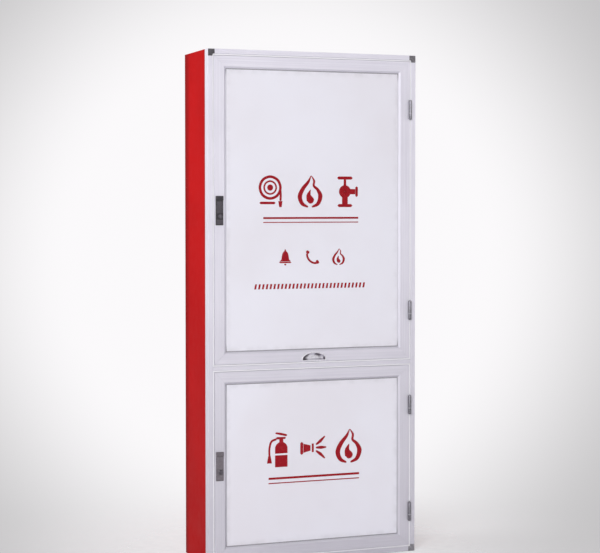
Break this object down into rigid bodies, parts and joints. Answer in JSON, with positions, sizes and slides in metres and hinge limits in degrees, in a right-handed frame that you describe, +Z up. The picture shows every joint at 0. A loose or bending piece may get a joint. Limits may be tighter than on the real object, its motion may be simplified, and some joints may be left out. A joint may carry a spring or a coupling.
{
  "type": "fire hydrant cabinet",
  "caption": "Tall wall cabinet for a fire hydrant above and extinguishers below: red steel box, aluminium frame, white framed doors on lift-off hinges, turn-knob locks.",
  "frame": {"origin": "under the middle of the cabinet's bounding box, on the floor plane it stands on", "axes": "+X to the right as you face the doors, +Y into the cabinet from its doors, +Z up"},
  "size_m": [0.7, 0.251, 1.6],
  "materials": {
    "red_paint": "semi-gloss red paint with a faint orange peel",
    "frame_aluminium": "satin anodised, drawn along the bar",
    "door_aluminium": "satin anodised, drawn along the bar",
    "white_panel": "white baked enamel with red screen-printed signs",
    "corner_plastic": "dark moulded plastic",
    "foam": "black foam strip",
    "gasket_rubber": "dark grey glazing gasket",
    "hinge_steel": "dark plated steel",
    "lock_plastic": "dark moulded plastic with a fine grain",
    "lock_zinc": "dark zinc plating",
    "chrome_pull": "polished chrome plate"
  },
  "bodies": {
    "cabinet": {"left_side_panel": "red_paint", "right_side_panel": "red_paint", "top_panel": "red_paint", "bottom_panel": "red_paint", "back_panel": "red_paint", "middle_shelf": "red_paint", "frame_left_stile": "frame_aluminium", "frame_right_stile": "frame_aluminium", "frame_top_rail": "frame_aluminium", "frame_bottom_rail": "frame_aluminium", "mullion": "frame_aluminium", "corner_bottom_left": "corner_plastic", "corner_bottom_right": "corner_plastic", "corner_top_left": "corner_plastic", "corner_top_right": "corner_plastic", "upper_seal": "foam", "lower_seal": "foam", "upper_top_hinge_frame_half": "hinge_steel", "upper_bottom_hinge_frame_half": "hinge_steel", "lower_top_hinge_frame_half": "hinge_steel", "lower_bottom_hinge_frame_half": "hinge_steel"},
    "upper_door": {"upper_door_left_stile": "door_aluminium", "upper_door_right_stile": "door_aluminium", "upper_door_top_rail": "door_aluminium", "upper_door_bottom_rail": "door_aluminium", "upper_door_panel": "white_panel", "upper_door_gasket": "gasket_rubber", "upper_door_pull": "chrome_pull", "upper_lock_housing": "lock_plastic", "upper_top_hinge_door_half": "hinge_steel", "upper_bottom_hinge_door_half": "hinge_steel"},
    "lower_door": {"lower_door_left_stile": "door_aluminium", "lower_door_right_stile": "door_aluminium", "lower_door_top_rail": "door_aluminium", "lower_door_bottom_rail": "door_aluminium", "lower_door_panel": "white_panel", "lower_door_gasket": "gasket_rubber", "lower_lock_housing": "lock_plastic", "lower_top_hinge_door_half": "hinge_steel", "lower_bottom_hinge_door_half": "hinge_steel"},
    "upper_lock": {"upper_lock_knob": "lock_zinc", "upper_lock_cam": "lock_zinc"},
    "lower_lock": {"lower_lock_knob": "lock_zinc", "lower_lock_cam": "lock_zinc"}
  },
  "joints": [
    {"name": "upper_door_hinge", "type": "hinge", "parent": "cabinet", "child": "upper_door", "pos_m": [0.329, -0.12025, 1.1035], "axis": [0, 0, 1], "range_deg": [0, 160]},
    {"name": "lower_door_hinge", "type": "hinge", "parent": "cabinet", "child": "lower_door", "pos_m": [0.329, -0.12025, 0.3125], "axis": [0, 0, 1], "range_deg": [0, 160]},
    {"name": "upper_lock_turn", "type": "hinge", "parent": "upper_door", "child": "upper_lock", "pos_m": [-0.3105, -0.1145, 1.0855], "axis": [0, 1, 0], "range_deg": [0, 90]},
    {"name": "lower_lock_turn", "type": "hinge", "parent": "lower_door", "child": "lower_lock", "pos_m": [-0.3105, -0.1145, 0.2945], "axis": [0, 1, 0], "range_deg": [0, 90]}
  ]
}
